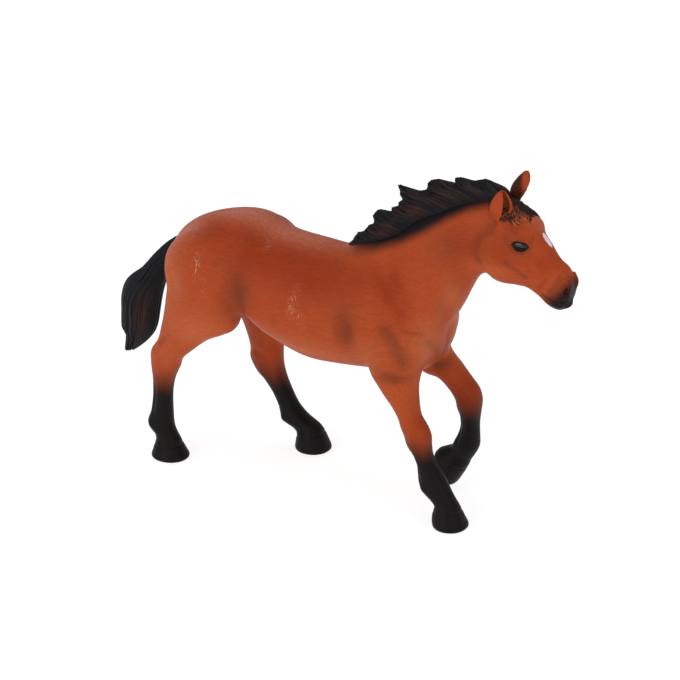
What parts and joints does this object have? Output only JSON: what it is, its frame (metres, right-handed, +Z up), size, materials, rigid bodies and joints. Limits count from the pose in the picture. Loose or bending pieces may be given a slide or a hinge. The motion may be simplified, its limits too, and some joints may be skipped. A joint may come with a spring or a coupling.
{
  "type": "toy horse figure",
  "caption": "Small walking horse figure in painted soft plastic, one foreleg lifted, with a short upright mane and a hanging tail.",
  "frame": {"origin": "on the ground under the middle of the figure's box, halfway along its length and width", "axes": "+X towards the nose, +Y to the horse's left, +Z up"},
  "size_m": [0.1622, 0.0412, 0.1098],
  "materials": {
    "coat_paint": "satin painted soft PVC, red-brown coat that fades to black on the lower legs and muzzle",
    "hair_paint": "satin black painted soft PVC with brown glints",
    "eye_paint": "gloss dark eye paint under clear varnish"
  },
  "bodies": {
    "root": {"trunk": "coat_paint", "head_and_neck": "coat_paint", "right_foreleg": "coat_paint", "left_foreleg": "coat_paint", "right_hind_leg": "coat_paint", "left_hind_leg": "coat_paint", "mane": "hair_paint", "tail": "hair_paint"}
  },
  "joints": []
}
